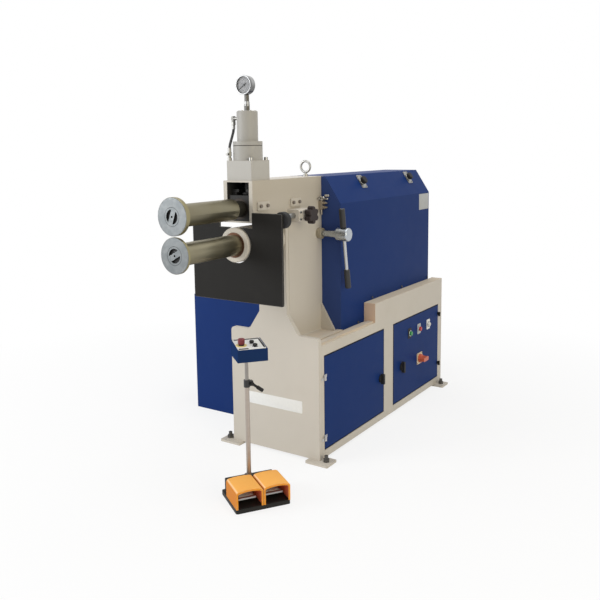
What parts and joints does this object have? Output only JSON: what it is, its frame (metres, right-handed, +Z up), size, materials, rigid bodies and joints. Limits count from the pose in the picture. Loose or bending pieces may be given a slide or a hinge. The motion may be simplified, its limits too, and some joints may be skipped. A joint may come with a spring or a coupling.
{
  "type": "electric bead roller",
  "caption": "Floor-standing motor-driven bead roller: overhung rolls on geared shafts, hydraulic press-down head, sliding stop plate, doored base, drive cover, power pack and pedal station.",
  "frame": {"origin": "on the floor, on the centre plane, below the front face of the front plate", "axes": "+X to the side with the doors and the handle, +Y to the rear along the shafts, away from the rolls, +Z up"},
  "size_m": [1.2516, 2.35, 1.989],
  "materials": {
    "cream_paint": "semi-gloss",
    "blue_paint": "semi-gloss",
    "grey_paint": "satin",
    "black_paint": "satin",
    "ground_steel": "ground",
    "gear_steel": "hobbed and oiled",
    "bronze": "turned",
    "brass_fittings": "plated",
    "hose_rubber": "matt",
    "black_plastic": "fine grain",
    "orange_plastic": "moulded",
    "pedal_aluminium": "cast",
    "green_plastic": "moulded",
    "red_plastic": "moulded",
    "switchgear": "moulded"
  },
  "bodies": {
    "frame": {"base_cabinet": "cream_paint", "front_plate": "cream_paint", "column_frame": "cream_paint", "foot_plates": "cream_paint", "machine_bolts": "ground_steel", "lifting_eye": "ground_steel", "cylinder_mount_block": "cream_paint", "hydraulic_cylinder": "cream_paint", "pipe_fittings": "brass_fittings", "gauge_case": "ground_steel", "hydraulic_hose": "hose_rubber", "lower_arm_tube": "cream_paint", "lower_front_bush": "bronze", "rear_bearing_stand": "grey_paint", "rear_bearing_rings": "bronze", "gear_reducer": "grey_paint", "drive_motor": "grey_paint", "drive_cover": "blue_paint", "side_brackets": "cream_paint", "door_hinges": "grey_paint", "power_pack_cabinet": "blue_paint", "power_pack": "grey_paint", "electrical_panel": "switchgear", "pedal_base": "black_paint", "pedal_guards": "orange_plastic", "post_lower": "black_paint"},
    "swing_block": {"slide_block": "ground_steel"},
    "upper_roll_shaft": {"upper_shaft": "ground_steel", "upper_roll": "ground_steel", "upper_roll_nut": "ground_steel", "upper_gear": "gear_steel"},
    "press_rod": {"piston_rod": "ground_steel"},
    "shift_ring": {"shift_collar": "bronze"},
    "lower_roll_shaft": {"lower_shaft": "ground_steel", "lower_roll": "ground_steel", "lower_roll_nut": "ground_steel", "lower_gear": "gear_steel"},
    "needle": {"gauge_needle": "black_plastic"},
    "back_stop": {"stop_plate": "black_paint"},
    "edge_roller": {"guide_roller": "black_plastic"},
    "clamp_knob": {"star_knob": "black_plastic"},
    "handle": {"handle_spindle": "ground_steel"},
    "handle_bar": {"tommy_bar": "black_plastic"},
    "door_front": {"front_door": "blue_paint"},
    "door_rear": {"rear_door": "blue_paint"},
    "latch_front": {"front_door_latch": "black_plastic"},
    "latch_rear": {"rear_door_latch": "black_plastic"},
    "button_start": {"start_button": "green_plastic"},
    "button_stop": {"stop_button": "red_plastic"},
    "isolator": {"main_switch": "red_plastic"},
    "catch_front": {"cover_knob_front": "black_paint"},
    "catch_rear": {"cover_knob_rear": "black_paint"},
    "pedal_left": {"left_pedal": "pedal_aluminium"},
    "pedal_right": {"right_pedal": "pedal_aluminium"},
    "console": {"post_upper": "ground_steel", "console_box": "blue_paint"},
    "post_lever": {"clamp_lever": "black_plastic"},
    "estop": {"emergency_stop": "red_plastic"},
    "console_left": {"console_button_left": "black_plastic"},
    "console_right": {"console_button_right": "black_plastic"}
  },
  "joints": [
    {"name": "press_swing", "type": "hinge", "parent": "frame", "child": "swing_block", "pos_m": [0, 1.195, 1.344], "axis": [-1, 0, 0], "range_deg": [0, 2.4]},
    {"name": "upper_spin", "type": "hinge", "parent": "swing_block", "child": "upper_roll_shaft", "pos_m": [0, -0.187, 1.344], "axis": [0, 1, 0], "continuous": true},
    {"name": "press_stroke", "type": "slide", "parent": "frame", "child": "press_rod", "axis": [0, 0, 1], "range_m": [0, 0.0585]},
    {"name": "handle_turn", "type": "hinge", "parent": "frame", "child": "handle", "pos_m": [0.25, 0.322, 1.17], "axis": [1, 0, 0], "range_deg": [-45, 45]},
    {"name": "lower_shift", "type": "slide", "parent": "frame", "child": "shift_ring", "axis": [0, -1, 0], "range_m": [-0.00565, 0.00565]},
    {"name": "lower_spin", "type": "hinge", "parent": "shift_ring", "child": "lower_roll_shaft", "pos_m": [0, 0.322, 1.17], "axis": [0, 1, 0], "continuous": true},
    {"name": "needle_turn", "type": "hinge", "parent": "frame", "child": "needle", "pos_m": [0, -0.209, 1.943], "axis": [0, 1, 0], "range_deg": [0, 250]},
    {"name": "plate_slide", "type": "slide", "parent": "frame", "child": "back_stop", "axis": [0, -1, 0], "range_m": [0, 0.13]},
    {"name": "edge_roller_spin", "type": "hinge", "parent": "back_stop", "child": "edge_roller", "pos_m": [0.262, -0.272, 1.299], "axis": [0, 1, 0], "continuous": true},
    {"name": "knob_turn", "type": "hinge", "parent": "frame", "child": "clamp_knob", "pos_m": [0.189, 0.096, 1.292], "axis": [1, 0, 0], "range_deg": [0, 360]},
    {"name": "bar_slide", "type": "slide", "parent": "handle", "child": "handle_bar", "axis": [0, -0.1478, 0.989], "range_m": [0, 0.16]},
    {"name": "front_door_swing", "type": "hinge", "parent": "frame", "child": "door_front", "pos_m": [0.294, 0.045, 0.31], "axis": [0, 0, -1], "range_deg": [0, 110]},
    {"name": "rear_door_swing", "type": "hinge", "parent": "frame", "child": "door_rear", "pos_m": [0.294, 1.549, 0.31], "axis": [0, 0, 1], "range_deg": [0, 110]},
    {"name": "front_latch_turn", "type": "hinge", "parent": "door_front", "child": "latch_front", "pos_m": [0.286, 0.688, 0.27], "axis": [-1, 0, 0], "range_deg": [0, 90]},
    {"name": "rear_latch_turn", "type": "hinge", "parent": "door_rear", "child": "latch_rear", "pos_m": [0.286, 0.97, 0.27], "axis": [1, 0, 0], "range_deg": [0, 90]},
    {"name": "start_press", "type": "slide", "parent": "door_rear", "child": "button_start", "axis": [-1, 0, 0], "range_m": [0, 0.005], "stiffness_N_per_m": 400, "springref_m": -0.002},
    {"name": "stop_press", "type": "slide", "parent": "door_rear", "child": "button_stop", "axis": [-1, 0, 0], "range_m": [0, 0.005], "stiffness_N_per_m": 400, "springref_m": -0.002},
    {"name": "isolator_turn", "type": "hinge", "parent": "door_rear", "child": "isolator", "pos_m": [0.3, 1.242, 0.26], "axis": [1, 0, 0], "range_deg": [0, 90]},
    {"name": "front_catch_turn", "type": "hinge", "parent": "frame", "child": "catch_front", "pos_m": [0.14471, 0.715, 1.4366], "axis": [0.8397, 0, 0.543], "range_deg": [0, 90]},
    {"name": "rear_catch_turn", "type": "hinge", "parent": "frame", "child": "catch_rear", "pos_m": [0.14471, 1.343, 1.4366], "axis": [0.8397, 0, 0.543], "range_deg": [0, 90]},
    {"name": "left_pedal_press", "type": "hinge", "parent": "frame", "child": "pedal_left", "pos_m": [0.18251, -0.53953, 0.042], "axis": [0.5592, 0.829, 0], "range_deg": [0, 8], "stiffness_Nm_per_rad": 30, "springref_deg": -3.44},
    {"name": "right_pedal_press", "type": "hinge", "parent": "frame", "child": "pedal_right", "pos_m": [0.25633, -0.4301, 0.042], "axis": [0.5592, 0.829, 0], "range_deg": [0, 8], "stiffness_Nm_per_rad": 30, "springref_deg": -3.44},
    {"name": "post_slide", "type": "slide", "parent": "frame", "child": "console", "axis": [0, 0, 1], "range_m": [-0.055, 0.08]},
    {"name": "lever_turn", "type": "hinge", "parent": "frame", "child": "post_lever", "pos_m": [0.18472, -0.44452, 0.542], "axis": [-0.829, 0.5592, 0], "range_deg": [-70, 40]},
    {"name": "estop_press", "type": "slide", "parent": "console", "child": "estop", "axis": [-0.0668, 0.056, -0.9962], "range_m": [0, 0.005], "stiffness_N_per_m": 400, "springref_m": -0.002},
    {"name": "console_left_press", "type": "slide", "parent": "console", "child": "console_left", "axis": [-0.0668, 0.056, -0.9962], "range_m": [0, 0.0035], "stiffness_N_per_m": 400, "springref_m": -0.002},
    {"name": "console_right_press", "type": "slide", "parent": "console", "child": "console_right", "axis": [-0.0668, 0.056, -0.9962], "range_m": [0, 0.0035], "stiffness_N_per_m": 400, "springref_m": -0.002}
  ],
  "couplings": [
    {"joint": "press_stroke", "follows": "press_swing", "m_per_rad": 1.3845},
    {"joint": "upper_spin", "follows": "lower_spin", "ratio": -1},
    {"joint": "handle_turn", "follows": "lower_shift", "rad_per_m": 138.9}
  ]
}
